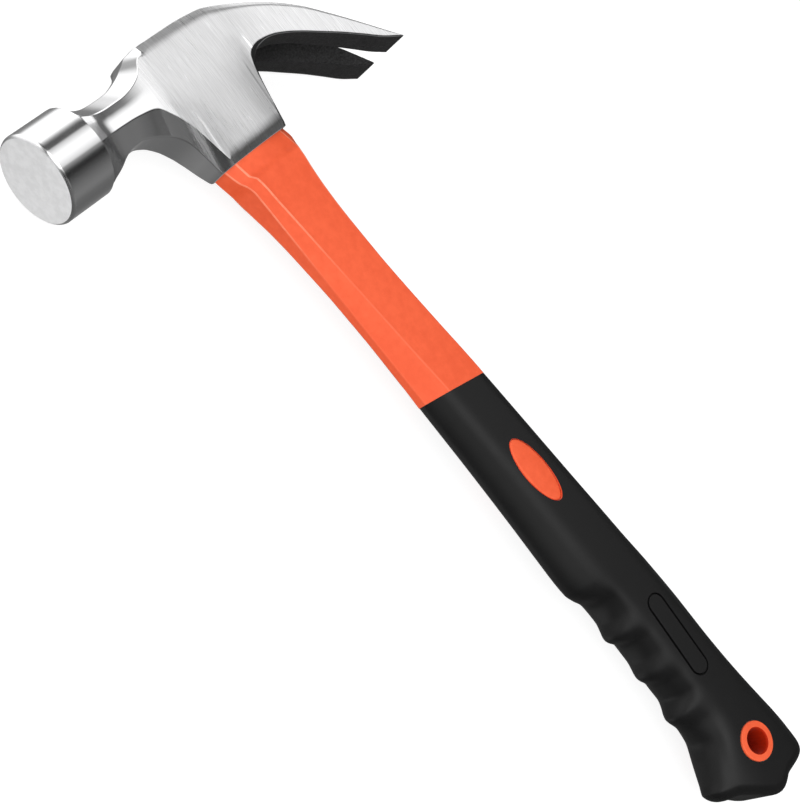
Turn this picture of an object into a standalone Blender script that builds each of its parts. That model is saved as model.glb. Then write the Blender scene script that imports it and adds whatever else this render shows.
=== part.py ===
# Claw hammer with a moulded fibreglass handle, lying on its side.
#
# Tool coordinates used for the design, in millimetres:
#   x  along the handle, from the line of the poll's axis (0) towards the butt (+)
#   y  along the head, from the striking face (0) towards the claw (+)
#   z  across the thickness, 0 on the mid plane
# The part is then moved so that the middle of its base is at the world origin:
# the handle runs along +X, the claw points along +Y, and +Z is up.

import bpy
import bmesh
import math
import numpy as np

for ob in list(bpy.data.objects):
    bpy.data.objects.remove(ob, do_unlink=True)

MM = 0.001
GAP = 0.3              # clearance kept between neighbouring solids

# ------------------------------------------------------------------ sizes
POLL_RADIUS = 16.3     # striking face and poll, about 32 mm across
POLL_LENGTH = 19.0
POLL_DROP = 0.8        # the poll's axis lies this far below the reference line
HEAD_LENGTH = 145.2    # face to claw tips
BOSS_BOTTOM = 34.7     # underside of the eye boss
EYE_CENTRE_Y = 71.6
EYE_BOTTOM = (11.5, 6.6)      # half length, half width of the eye at the underside
EYE_TOP = (12.8, 7.8)         # and at the crown, where the eye flares
CORE_HALF = (7.8, 4.5)        # fibreglass rod, half length and half width
CORE_TOP = -11.8
CORE_END = 286.0
CORE_Y0, CORE_SLOPE = 71.45, 0.0108   # the rod's centre line
JACKET_TOP = BOSS_BOTTOM + GAP
GRIP_TOP = 141.3
GRIP_SHEAR = 0.22      # the grip's top edge leans back
GRIP_WALL = 2.8
BUTT_END = 323.5
HOOK_START = 298.0
BUTT_ROUND = 4.6       # rounding of the butt's rim
HANG_HOLE = (303.1, 70.0)     # centre
HANG_OUTER, HANG_BORE = 7.1, 4.4
OVAL_CENTRE = (179.6, 72.0)
OVAL_HALF = (13.2, 5.0)

# ------------------------------------------------------- head: side profile
# (station along the head, value)
CROWN = [(19.3, -15.0), (21, -14.0), (23, -12.7), (25, -11.3), (27, -10.3), (29.5, -9.6), (32, -9.35), (35, -9.25),
         (38, -9.25), (41, -9.45), (44, -10.1), (47, -11.1), (50, -12.4), (52, -13.7), (53.4, -14.9), (56.5, -14.95),
         (60.3, -14.8), (66, -14.8), (72.2, -14.75), (78.4, -14.35), (84.3, -13.6), (88.7, -12.1), (92.9, -10.3),
         (99.1, -7.3), (106.9, -2.95), (113.2, 1.4), (119.3, 6.45), (124.8, 12.1), (130.2, 17.9), (138.1, 26.9),
         (143.3, 32.9), (HEAD_LENGTH, 35.0)]
UNDER = [(19.3, 15.8), (21, 15.2), (23, 14.6), (26, 13.5), (30, 11.7), (34, 10.5), (38, 10.3), (42, 11.6), (45, 13.5),
         (48, 16.2), (50, 19.2), (51, 21.4), (52.2, 25.6), (53.4, 30.4), (54.8, BOSS_BOTTOM), (87.6, BOSS_BOTTOM),
         (88.6, 27), (89.6, 20), (90.6, 14.2), (92, 10.2), (94.3, 8.4), (98, 8.0), (101, 8.5), (105.5, 10.2),
         (111.3, 13.3), (118.2, 17.7), (125.1, 22.2), (131.9, 27.1), (138.7, 32.1), (HEAD_LENGTH, 35.6)]
# ------------------------------------------------------- head: widths and facets
CROWN_HALF = [(19.3, 4.0), (22, 3.0), (26, 2.2), (30, 1.7), (48, 1.6), (50, 1.6), (52, 3), (53.4, 5), (54.5, 8.6),
              (55.5, 10.8), (60, 11.6), (80, 12.1), (90, 13.0), (110, 14.5), (130, 15.9), (HEAD_LENGTH, 17.1)]
SHOULDER = [(19.3, -5.8), (23, -5.2), (27, -4.6), (33, -4.15), (39, -4.15), (43, -4.6), (46.6, -5.66), (49, -6.97),
            (50.4, -8.5), (51.6, -10.2), (52.6, -11.1), (53.6, -11.4), (55, -11.2), (60, -11.0), (68, -11.0)]
SIDE_HALF = [(19.3, 14.6), (21, 13.6), (23, 12.5), (25, 11.5), (27, 10.8), (30, 10.3), (34, 10.1), (38, 10.2),
             (42, 10.5), (46, 11.0), (50, 11.6), (55, 12.3), (65, 12.9), (80, 13.3), (90, 14.2), (110, 15.4),
             (130, 16.5), (HEAD_LENGTH, 17.4)]
SIDE_MID = [(45, 0.0), (50, 1.0), (54, 3.5), (60, 8.0), (70, 8.0), (78, 5.0), (86, 1.0), (90, -1.0)]
HIP = [(19.3, 4.6), (23.5, 3.95), (29.5, 3.65), (36, 3.8), (42.3, 4.45), (45.1, 4.95), (47, 5.8), (48.5, 7.6),
       (50, 10.2), (51.4, 12.7), (52.9, 15.2), (54.1, 17.9), (55, 21), (55.8, 24.2), (56.6, 27.5), (57.2, 30.5),
       (57.8, 33.0), (58.4, 32.9), (59.4, 32.2), (60.4, 31.9), (84.8, 31.9), (85.5, 28.5), (86.2, 25), (86.8, 20.5),
       (87.7, 14.7), (88.3, 12.0), (89.4, 9.0), (91.3, 7.6), (94.6, 7.1), (98, 7.3), (101, 7.9), (105.5, 9.7),
       (111.3, 12.8), (118.2, 17.2), (125.1, 21.8), (131.9, 26.75), (138.7, 31.8), (HEAD_LENGTH, 35.4)]
HIP_HALF = [(43, 10.6), (47, 11.0), (50.8, 11.2), (52.5, 10.6), (54.1, 10.1), (55.8, 9.5), (57.2, 8.9), (58.4, 8.8),
            (60.4, 9.1), (63, 9.6), (66, 10.2), (70, 10.7), (74, 10.9), (78, 10.7), (82, 10.2), (84.8, 9.8),
            (86.2, 10.4), (86.8, 11.0), (87.7, 11.9), (88.3, 12.5), (89.5, 13.4), (91.4, 14.2)]
UNDER_HALF = [(19.3, 6.4), (23, 5.6), (27, 4.9), (32, 4.5), (38, 4.5), (43, 5.0), (47, 6.2), (50, 6.8), (51, 6.7),
              (52.2, 6.1), (53.4, 5.4), (54.8, 4.4), (56.6, 6.2), (57.7, 7.1), (58.8, 7.3), (62, 7.8), (66, 8.6),
              (70, 9.1), (74, 9.3), (78, 9.1), (82, 8.6), (84.8, 7.8), (86.2, 6.8), (87.6, 5.5), (88.6, 6.3),
              (89.6, 7.2), (90.6, 8.4), (92, 11), (94.3, 13.0), (98, 14.0), (110, 15.0), (130, 16.1),
              (HEAD_LENGTH, 17.0)]
HIP_ROUND = [(58.0, 0.4), (60.0, 3.0), (84.0, 3.0), (86.0, 0.4)]
TOP_BEVEL = [(60, 3.8), (85, 3.4), (100, 2.2), (HEAD_LENGTH, 0.7)]
TOP_ROUND = [(53.4, 0.4), (57, 1.7), (85, 1.6), (100, 0.9), (HEAD_LENGTH, 0.4)]
SHOULDER_LEAN = [(19.3, 0.0), (24, 0.5), (30, 0.9), (40, 1.0), (46, 0.9), (50, 0.5), (53, 0.0)]
CLAW_BEVEL = [(96, 0.9), (99, 0.5), (103, 0.4)]
HEAD_STATIONS = [0, 0.25, 0.6, 1.1, 18.5, POLL_LENGTH, 19.3, 20, 21, 22.5, 24, 26, 28, 30, 32, 35, 38, 41, 43.5, 46,
                 48, 50, 51.4, 52.6, 53.8, 55.3, 56.6, 58.4, 62, 68, 74, 80, 84.2, 85.2, 86.2, 87, 88, 89, 90, 91.5,
                 94, 98, 103, 108, 113, 118, 123, 128, 133, 138, 142, HEAD_LENGTH]

# ------------------------------------------------------- claw slot
SLOT_START, SLOT_FLOOR_END = 94.0, 113.5
SLOT_TOP = [(94, 0.5), (113, 0.6), (120, 0.9), (130, 1.4), (136.1, 1.8), (138.7, 2.2), (141.5, 2.65), (145.2, 3.7),
            (150, 4.4)]
SLOT_BOTTOM = [(94, 0.9), (95, 2.5), (97, 4.2), (100, 5.6), (105, 6.5), (113, 6.7), (122, 6.3), (130, 5.75), (137, 5.5),
               (141, 5.1), (145, 4.5), (150, 4.4)]
SLOT_STATIONS = [94.0, 94.6, 95.5, 97, 99, 101.5, 104, 107, 110, 113.5, 117, 121, 125, 129, 133, 137, 141, 145, 148]

# ------------------------------------------------------- handle sections
# stations are distances from the head's reference line
MID_Y = [(34.9, 71.5), (43, 72.4), (65, 72.6), (85, 73.0), (119, 73.7), (140, 74.2), (215, 74.0), (240, 74.3),
         (285, 74.3), (300, 73.6), (325, 73.0)]
FRONT = [(34.9, 15.6), (38, 15.3), (41, 14.8), (43, 14.05), (46, 13.45), (52, 13.05), (60, 12.55), (70, 12.3),
         (80, 12.33), (90, 12.4), (100, 12.6), (110, 12.88), (120, 13.3), (130, 13.8), (140, 14.3), (165, 14.9),
         (190, 16.0), (205, 16.9), (216, 17.4), (221, 17.1), (225, 15.35), (231, 11.6), (237, 12.8), (243, 16.2),
         (249, 12.2), (255, 13.0), (261, 15.9), (267, 12.9), (273, 12.8), (279, 17.95), (285, 16.2), (291, 16.15),
         (297, 19.6), (303, 23.6), (309, 27.9), (316, 27.2), (325, 27.0)]
REAR = [(34.9, 15.4), (38, 15.6), (40, 15.1), (42, 14.3), (44, 13.6), (46, 13.1), (52, 12.6), (60, 12.4), (70, 12.25),
        (80, 12.35), (90, 12.45), (100, 12.7), (110, 13.0), (120, 13.3), (130, 13.6), (140, 13.85), (165, 14.3),
        (190, 14.65), (220, 15.5), (246, 15.85), (258, 15.35), (267, 14.75), (274, 14.6), (285, 15.1), (291, 15.6),
        (297, 16.2), (309, 17.2), (315, 16.9), (325, 15.6)]
EDGE_HALF = [(34.9, 4.0), (40.5, 4.4), (43.5, 5.2), (46, 5.55), (52, 4.97), (60, 4.05), (70, 3.29), (80, 2.74),
             (90, 2.29), (100, 2.07), (110, 1.9), (120, 1.93), (130, 1.98), (140, 2.2), (170, 2.6), (216, 3.2),
             (232, 5.0), (243.5, 4.0), (251, 5.2), (261.5, 4.0), (271, 5.2), (282, 4.0), (292, 5.0), (303, 5.0),
             (325, 5.0)]
EDGE_REAR = [(34.9, 4.0), (40.5, 4.4), (43.5, 5.2), (46, 5.55), (52, 4.97), (60, 4.05), (70, 3.29), (80, 2.74),
             (90, 2.29), (100, 2.07), (110, 1.9), (120, 1.93), (130, 1.98), (140, 2.2), (170, 2.6), (216, 3.2),
             (232, 4.0), (285, 4.2), (303, 5.0), (325, 5.0)]
FLAT_FRONT = [(34.9, 11.9), (40.5, 11.9), (43.5, 11.2), (46, 10.93), (52, 10.34), (60, 9.59), (70, 9.0), (80, 8.68),
              (90, 8.38), (100, 8.27), (110, 8.19), (120, 8.28), (130, 8.43), (140, 8.3), (170, 8.4), (216, 9.0),
              (240, 8.0), (285, 9.0), (303, 13.5), (325, 14.5)]
FLAT_REAR = [(34.9, 11.6), (40.5, 11.9), (43.5, 10.8), (46, 10.43), (52, 9.79), (60, 9.25), (70, 8.78), (80, 8.49),
             (90, 8.23), (100, 8.11), (110, 8.1), (120, 8.01), (130, 7.94), (140, 8.0), (170, 8.4), (216, 9.0),
             (240, 8.6), (285, 9.0), (303, 10.5), (325, 11.0)]
THICK_EDGE = [(34.9, 7.0), (40.5, 7.3), (43.5, 9.1), (46, 9.18), (52, 8.66), (60, 8.15), (70, 7.89), (80, 7.83),
              (90, 7.89), (100, 8.16), (110, 8.48), (120, 8.99), (130, 9.51), (140, 9.8), (180, 10.8), (216, 11.6),
              (260, 12.0), (325, 12.2)]
THICK_MID = [(34.9, 9.2), (40.5, 9.2), (43.5, 9.4), (46, 9.38), (52, 8.86), (60, 8.35), (70, 8.09), (80, 8.03),
             (90, 8.09), (100, 8.36), (110, 8.68), (120, 9.2), (130, 9.72), (140, 10.1), (180, 11.2), (216, 12.1),
             (260, 12.6), (325, 12.8)]
BUTT_LINE = [(42, 305.2), (44, 307.4), (48, 310.6), (50, 311.5), (54, 313.0), (58, 316.5), (62, 320.6), (65, 322.8),
             (67.5, BUTT_END), (70, 323.0), (74, 321.5), (84, 321.5), (86, 320.8), (90, 318.6), (95, 316.8)]
JACKET_STATIONS = [JACKET_TOP, 38, 40.5, 42, 43.5, 47, 53, 60, 70, 85, 100, 119, 132, GRIP_TOP - 2 * GAP]
GRIP_STATIONS = [GRIP_TOP, 150, 162, 175, 190, 203, 211, 216, 219, 222, 226, 230, 234, 238, 241, 243.5, 246, 250,
                 254, 258, 261.5, 264, 268, 272, 276, 279, 282, 286, 290, 294, HOOK_START]


def curve(table, s):
    """Smooth monotone curve through the design stations of a table."""
    xs = [p[0] for p in table]
    ys = [p[1] for p in table]
    n = len(xs)
    if s <= xs[0]:
        return ys[0]
    if s >= xs[-1]:
        return ys[-1]
    h = [xs[i + 1] - xs[i] for i in range(n - 1)]
    d = [(ys[i + 1] - ys[i]) / h[i] for i in range(n - 1)]
    m = [0.0] * n
    m[0], m[-1] = d[0], d[-1]
    for i in range(1, n - 1):
        if d[i - 1] * d[i] > 0:
            w1, w2 = 2 * h[i] + h[i - 1], h[i] + 2 * h[i - 1]
            m[i] = (w1 + w2) / (w1 / d[i - 1] + w2 / d[i])
    i = max(j for j in range(n - 1) if xs[j] <= s)
    t = (s - xs[i]) / h[i]
    t2, t3 = t * t, t * t * t
    return ((2 * t3 - 3 * t2 + 1) * ys[i] + (t3 - 2 * t2 + t) * h[i] * m[i]
            + (-2 * t3 + 3 * t2) * ys[i + 1] + (t3 - t2) * h[i] * m[i + 1])


def rounded(poly, amount, steps):
    """Round each corner of a polygon. A positive amount is a share of the edge, a negative one is in mm."""
    out = []
    n = len(poly)
    for i in range(n):
        p = np.array(poly[i], float)
        a = np.array(poly[i - 1], float)
        b = np.array(poly[(i + 1) % n], float)
        la, lb = np.linalg.norm(a - p), np.linalg.norm(b - p)
        f = amount[i]
        da, db = (min(-f, 0.45 * la), min(-f, 0.45 * lb)) if f < 0 else (f * la, f * lb)
        p0 = p + (a - p) / la * da
        p2 = p + (b - p) / lb * db
        for k in range(steps):
            t = k / (steps - 1)
            out.append((1 - t) ** 2 * p0 + 2 * t * (1 - t) * p + t * t * p2)
    return out


def mirrored(half):
    return half + [(u, -z) for u, z in reversed(half)]


# ------------------------------------------------------------------ head
ARC = [(2, 43), (45.5, 77), (79, 101), (103, 134.5), (137, 178)]    # degrees round the poll for each corner


def poll_circle(r, steps):
    near = []
    for a, b in ARC:
        for k in range(steps):
            th = math.radians(a + (b - a) * k / (steps - 1))
            near.append((-r * math.cos(th) + POLL_DROP, r * math.sin(th)))
    return [np.array(p) for p in mirrored(near)]


def head_corners(y):
    top, side, under = curve(CROWN, y), curve(SIDE_HALF, y), curve(UNDER, y)
    bevel = 0.3 * (under - top)
    shoulder = curve(SHOULDER, y) if y <= 60 else top + min(curve(TOP_BEVEL, y), bevel)
    hip = curve(HIP, y) if y < 96 else under - min(curve(CLAW_BEVEL, y), bevel)
    hip_half = curve(HIP_HALF, y) if 43 < y < 91 else side
    under_half = curve(UNDER_HALF, y)
    if y > 90:
        under_half = min(under_half, hip_half - 0.35)
    middle = 0.5 * (shoulder + hip)
    if 43 < y < 90:
        w = max(0.0, min(1.0, (y - 43) / 7.0, (90 - y) / 4.0))
        middle = w * curve(SIDE_MID, y) + (1 - w) * middle
    return [(top, curve(CROWN_HALF, y)), (shoulder, side - curve(SHOULDER_LEAN, y)), (middle, side), (hip, hip_half), (under, under_half)]


def head_ring(y, steps=3, edge=0.5):
    if y <= POLL_LENGTH + 0.01:
        r = POLL_RADIUS
        if y < 1.1:
            r -= 0.9 * (1 - y / 1.1) ** 1.6
        if y > 18.5:
            r -= 0.5 * ((y - 18.5) / 0.5) ** 2
        return [(p[0], y, p[1]) for p in poll_circle(r, steps)]
    amount = [-edge, -max(edge, curve(TOP_ROUND, y)), 0.4, -max(edge, curve(HIP_ROUND, y)), -edge]
    pts = rounded(mirrored(head_corners(y)), amount + amount[::-1], steps)
    return [(p[0], y, p[1]) for p in pts]


def slot_ring(y):
    top, under = curve(CROWN, min(y, HEAD_LENGTH)), curve(UNDER, min(y, HEAD_LENGTH))
    if y > HEAD_LENGTH:
        top, under = top + (y - HEAD_LENGTH), under + (y - HEAD_LENGTH)
    depth = under - (top - 1.5)
    share = min(1.0, (y - SLOT_START + 0.7) / (SLOT_FLOOR_END - SLOT_START + 0.7))
    floor = under - depth * share ** 0.62
    wt, wb = curve(SLOT_TOP, y), curve(SLOT_BOTTOM, y)
    wt = min(wt, wb)
    # the wall's slope is carried past the underside
    low = under + 2.5
    slope = (wb - wt) / max(under - floor, 1.0)
    wl = wb + slope * 2.5
    return [(floor, y, wt), (floor, y, -wt), (low, y, -wl), (low, y, wl)]


# ------------------------------------------------------------------ handle
def butt_limit(y):
    return curve(BUTT_LINE, y)


def handle_corners(x, inset=0.0):
    """Near half of the handle's section: front edge, front flat, middle, rear flat, rear edge."""
    c, af, ar = curve(MID_Y, x), curve(FRONT, x) - inset, curve(REAR, x) - inset
    zf, zr = max(curve(EDGE_HALF, x) - 0.41 * inset, 0.6), max(curve(EDGE_REAR, x) - 0.41 * inset, 0.6)
    yf, yr = curve(FLAT_FRONT, x) - 0.41 * inset, curve(FLAT_REAR, x) - 0.41 * inset
    b1, b = curve(THICK_EDGE, x) - inset, curve(THICK_MID, x) - inset
    return [(c - af, zf), (c - yf, b1), (c, b), (c + yr, b1), (c + ar, zr)]


def handle_ring(x, steps=3, soft=(0.3, 0.3, 0.5), inset=0.0, shear=0.0):
    amount = [soft[0], soft[1], soft[2], soft[1], soft[0]]
    pts = rounded(mirrored(handle_corners(x, inset)), amount + amount[::-1], steps)
    return [(x + shear * (p[0] - 74.0), p[0], p[1]) for p in pts]


def grip_shear(x):
    return curve([(GRIP_TOP, GRIP_SHEAR), (155, GRIP_SHEAR), (200, 0.0), (HOOK_START, 0.0)], x)


def butt_ring(t, turn, steps, soft, inset, round_r):
    """Section of the flared butt: every point runs out to its own place on the slanted end, then turns inwards."""
    def run(y):
        if t == 1:
            return butt_limit(y) - inset - round_r * (1 - math.sin(turn))
        return HOOK_START + t * (butt_limit(y) - inset - round_r - HOOK_START)

    near = []
    for k in range(5):
        x = HOOK_START
        for _ in range(8):
            reach = butt_limit(handle_corners(x, inset)[k][0]) - inset - round_r
            x = HOOK_START + t * (reach - HOOK_START)
        near.append(handle_corners(x, inset + round_r * (1 - math.cos(turn)))[k])
    amount = [soft[0], soft[1], soft[2], soft[1], soft[0]]
    return [(run(p[0]), p[0], p[1]) for p in rounded(mirrored(near), amount + amount[::-1], steps)]


def butt_rings(steps, soft, inset, round_r, count=4, turns=4):
    rings = [butt_ring(i / count, 0.0, steps, soft, inset, round_r) for i in range(1, count + 1)]
    return rings + [butt_ring(1, 0.5 * math.pi * i / turns, steps, soft, inset, round_r) for i in range(1, turns + 1)]


GRIP_SOFT = (0.45, 0.4, 0.5)
JACKET_SOFT = (-0.4, -0.4, 0.5)


def grip_outer_rings():
    rings = [handle_ring(x, 3, GRIP_SOFT, 0.0, grip_shear(x)) for x in GRIP_STATIONS]
    return rings + butt_rings(3, GRIP_SOFT, 0.0, BUTT_ROUND)


def tang_rings(inset, start):
    xs = [start] + [x for x in GRIP_STATIONS[1:]]
    rings = [handle_ring(x, 3, GRIP_SOFT, inset, grip_shear(x)) for x in xs]
    return rings + butt_rings(3, GRIP_SOFT, inset, 2.0, 3, 3)


def oval_ring(half_long, half_wide, centre, z, count=32):
    return [(centre[0] + half_long * math.cos(2 * math.pi * k / count),
             centre[1] + half_wide * math.sin(2 * math.pi * k / count), z) for k in range(count)]


def stadium_ring(half_long, half_wide, cy, x, steps=6):
    """Round-ended slot section across the handle, at distance x."""
    pts = []
    r = half_wide
    for side, start in ((1, -90), (-1, 90)):
        for k in range(steps + 1):
            a = math.radians(start + 180 * k / steps)
            pts.append((x, cy + side * (half_long - r) + r * math.cos(a), r * math.sin(a)))
    return pts


# ------------------------------------------------------------------ meshes
X0 = 0.5 * (POLL_DROP - POLL_RADIUS + BUTT_END)
Y0 = 0.5 * HEAD_LENGTH
Z0 = 17.4


def loft(rings, strip_caps=True):
    """Quads between rings, closed at both ends. Rings are symmetric, so the caps are strips of quads."""
    verts, faces = [], []
    n = len(rings[0])
    for r in rings:
        verts += [tuple(p) for p in r]
    for i in range(len(rings) - 1):
        for j in range(n):
            k = (j + 1) % n
            faces.append((i * n + j, i * n + k, (i + 1) * n + k, (i + 1) * n + j))
    last = (len(rings) - 1) * n
    if strip_caps:
        for base, flip in ((0, True), (last, False)):
            for j in range(n // 2 - 1):
                quad = (base + j, base + j + 1, base + n - 2 - j, base + n - 1 - j)
                faces.append(quad[::-1] if flip else quad)
    else:
        faces.append(tuple(range(n))[::-1])
        faces.append(tuple(range(last, last + n)))
    return verts, faces


def mesh_object(name, verts, faces, material=None):
    me = bpy.data.meshes.new(name)
    me.from_pydata([((x - X0) * MM, (y - Y0) * MM, (z + Z0) * MM) for x, y, z in verts], [], faces)
    bm = bmesh.new()
    bm.from_mesh(me)
    bmesh.ops.triangulate(bm, faces=bm.faces)
    bmesh.ops.recalc_face_normals(bm, faces=bm.faces)
    bm.to_mesh(me)
    bm.free()
    ob = bpy.data.objects.new(name, me)
    bpy.context.scene.collection.objects.link(ob)
    if material:
        me.materials.append(material)
    me.shade_smooth()
    me.set_sharp_from_angle(angle=math.radians(28))
    return ob


def cutter(name, verts, faces):
    ob = mesh_object(name, verts, faces)
    ob.hide_render = True
    ob.display_type = 'WIRE'
    return ob


def boolean(ob, tool, operation='DIFFERENCE'):
    mod = ob.modifiers.new(operation.lower() + '_' + tool.name, 'BOOLEAN')
    mod.operation = operation
    mod.solver = 'EXACT'
    mod.object = tool
    return mod


def material(name, colour, roughness, metallic):
    mat = bpy.data.materials.new(name)
    mat.use_nodes = True
    bsdf = mat.node_tree.nodes['Principled BSDF']
    bsdf.inputs['Base Color'].default_value = (*colour, 1.0)
    bsdf.inputs['Roughness'].default_value = roughness
    bsdf.inputs['Metallic'].default_value = metallic
    return mat


steel = material('ground_steel', (0.62, 0.62, 0.63), 0.30, 1.0)
fibre = material('pultruded_fibreglass', (0.80, 0.74, 0.52), 0.55, 0.0)
orange = material('orange_polypropylene', (0.92, 0.13, 0.03), 0.45, 0.0)
black = material('black_soft_grip', (0.022, 0.022, 0.022), 0.50, 0.0)
resin = material('eye_resin', (0.05, 0.04, 0.03), 0.35, 0.0)

# hammer head: one forging with the eye and the claw slot cut through it
head = mesh_object('hammer_head', *loft([head_ring(y) for y in HEAD_STATIONS], strip_caps=True), steel)
slot = cutter('cut_slot', *loft([slot_ring(y) for y in SLOT_STATIONS], strip_caps=False))
eye_rings = [stadium_ring(h + (EYE_TOP[0] - h) * t, w + (EYE_TOP[1] - w) * t, EYE_CENTRE_Y, x)
             for (h, w) in [EYE_BOTTOM] for x, t in ((BOSS_BOTTOM + 5, 0.0), (12.0, 0.0), (-25.0, 1.0))]
eye = cutter('cut_eye', *loft(eye_rings, strip_caps=False))
boolean(head, slot)
boolean(head, eye)


# fibreglass core: a straight rod from the eye to just above the hang hole
def core_y(x):
    return CORE_Y0 + CORE_SLOPE * (x - CORE_TOP)


def rod_rings(extra, x_start, x_end, count=2):
    return [stadium_ring(CORE_HALF[0] + extra, CORE_HALF[1] + extra, core_y(x), x)
            for x in [x_start + (x_end - x_start) * k / (count - 1) for k in range(count)]]


core = mesh_object('fibreglass_core', *loft(rod_rings(0.0, CORE_TOP, CORE_END), strip_caps=False), fibre)


# eye resin: fills the eye round the core and over its top
def eye_half(x, extra):
    t = max(0.0, min(1.0, (12.0 - x) / 37.0))
    return (EYE_BOTTOM[0] + (EYE_TOP[0] - EYE_BOTTOM[0]) * t - extra,
            EYE_BOTTOM[1] + (EYE_TOP[1] - EYE_BOTTOM[1]) * t - extra)


resin_top = [(curve(CROWN, p[1]) + 0.4, p[1], p[2]) for p in stadium_ring(*eye_half(-14.4, GAP), EYE_CENTRE_Y, 0.0)]
resin_rings = [resin_top] + [stadium_ring(*eye_half(x, GAP), EYE_CENTRE_Y, x) for x in (12.0, BOSS_BOTTOM - GAP)]
epoxy = mesh_object('eye_epoxy', *loft(resin_rings, strip_caps=False), resin)
core_room = cutter('cut_core_room', *loft(rod_rings(GAP, CORE_TOP - GAP, BOSS_BOTTOM + 4), strip_caps=False))
boolean(epoxy, core_room)

# handle jacket: moulded over the core; its lower half is the tang that the grip covers, with an oval
# window boss on each side and the hang hole's tube showing through the grip
jacket_rings = []
for x in JACKET_STATIONS:
    lean = GRIP_SHEAR * max(0.0, min(1.0, (x - 119) / (GRIP_TOP - 119)))
    jacket_rings.append(handle_ring(x, 3, JACKET_SOFT, 0.0, lean))
jacket_rings += tang_rings(GRIP_WALL, GRIP_TOP - 2 * GAP + 0.02)
jacket = mesh_object('handle_jacket', *loft(jacket_rings), orange)


def window_plug(extra, lift):
    x, y = OVAL_CENTRE
    top = curve(THICK_MID, x) + lift
    rings = []
    for z in (-top, top):
        rings.append(oval_ring(OVAL_HALF[0] + extra, OVAL_HALF[1] + extra, OVAL_CENTRE, z))
    return loft(rings, strip_caps=False)


def tube(radius, half):
    return loft([oval_ring(radius, radius, HANG_HOLE, z, 32) for z in (-half, half)], strip_caps=False)


hang_half = curve(THICK_MID, HANG_HOLE[0]) + 0.1
boss = cutter('add_window_boss', *window_plug(0.0, -0.15))
hang_tube = cutter('add_hang_tube', *tube(HANG_OUTER, hang_half))
bore = cutter('cut_hang_bore', *tube(HANG_BORE, 30.0))
core_hole = cutter('cut_core_hole', *loft(rod_rings(GAP, 20.0, CORE_END + GAP), strip_caps=False))
boolean(jacket, boss, 'UNION')
boolean(jacket, hang_tube, 'UNION')
boolean(jacket, bore)
boolean(jacket, core_hole)

# grip: soft sleeve over the tang, with windows for the bosses
grip = mesh_object('grip_sleeve', *loft(grip_outer_rings()), black)
cavity_rings = [handle_ring(GRIP_TOP - 8, 3, GRIP_SOFT, GRIP_WALL - GAP, GRIP_SHEAR)]
cavity_rings += tang_rings(GRIP_WALL - GAP, GRIP_TOP - 1.0)
cavity = cutter('cut_tang_room', *loft(cavity_rings))
window = cutter('cut_windows', *window_plug(GAP, 8.0))
hang_window = cutter('cut_hang_window', *tube(HANG_OUTER + GAP, 30.0))
boolean(grip, cavity)
boolean(grip, window)
boolean(grip, hang_window)
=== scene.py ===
# Claw hammer: the detailed look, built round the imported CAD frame.
#
# Tool coordinates used for the shapes, in millimetres:
#   x  along the handle, from the line of the poll's axis (0) towards the butt (+)
#   y  along the head, from the striking face (0) towards the claw (+)
#   z  across the thickness, 0 on the mid plane
# Every piece lands in the frame of the CAD: metres, +X towards the butt, +Y towards the claw, +Z up.

import math

import bmesh
import bpy
import numpy as np
from mathutils import Matrix, Vector


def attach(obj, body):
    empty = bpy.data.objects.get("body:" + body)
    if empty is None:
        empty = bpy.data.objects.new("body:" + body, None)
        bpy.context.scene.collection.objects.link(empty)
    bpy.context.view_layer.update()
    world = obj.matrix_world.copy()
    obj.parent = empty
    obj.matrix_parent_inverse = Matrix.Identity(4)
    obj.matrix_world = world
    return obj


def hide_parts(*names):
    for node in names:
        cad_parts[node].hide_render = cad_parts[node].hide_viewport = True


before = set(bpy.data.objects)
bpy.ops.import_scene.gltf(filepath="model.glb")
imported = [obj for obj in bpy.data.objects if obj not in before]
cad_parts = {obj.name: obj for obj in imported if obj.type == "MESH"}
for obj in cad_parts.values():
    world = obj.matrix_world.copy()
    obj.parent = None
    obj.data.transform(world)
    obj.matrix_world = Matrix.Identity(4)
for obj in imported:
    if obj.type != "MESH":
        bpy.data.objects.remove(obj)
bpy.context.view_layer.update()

MM = 0.001
GAP = 0.3              # clearance kept between neighbouring solids

# ------------------------------------------------------------------ sizes
POLL_RADIUS = 16.3     # striking face and poll, about 32 mm across
POLL_LENGTH = 19.0
POLL_DROP = 0.8        # the poll's axis lies this far below the reference line
HEAD_LENGTH = 145.2    # face to claw tips
BOSS_BOTTOM = 34.7     # underside of the eye boss
EYE_CENTRE_Y = 71.6
EYE_BOTTOM = (11.5, 6.6)      # half length, half width of the eye at the underside
EYE_TOP = (12.8, 7.8)         # and at the crown, where the eye flares
CORE_HALF = (7.8, 4.5)        # fibreglass rod, half length and half width
CORE_TOP = -11.8
CORE_END = 286.0
CORE_Y0, CORE_SLOPE = 71.45, 0.0108   # the rod's centre line
JACKET_TOP = BOSS_BOTTOM + GAP
GRIP_TOP = 141.3
GRIP_SHEAR = 0.22      # the grip's top edge leans back
GRIP_WALL = 2.8
BUTT_END = 323.5
HOOK_START = 298.0
BUTT_ROUND = 4.6       # rounding of the butt's rim
HANG_HOLE = (303.1, 70.0)     # centre
HANG_OUTER, HANG_BORE = 7.1, 4.4
OVAL_CENTRE = (179.6, 72.0)
OVAL_HALF = (13.2, 5.0)

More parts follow.
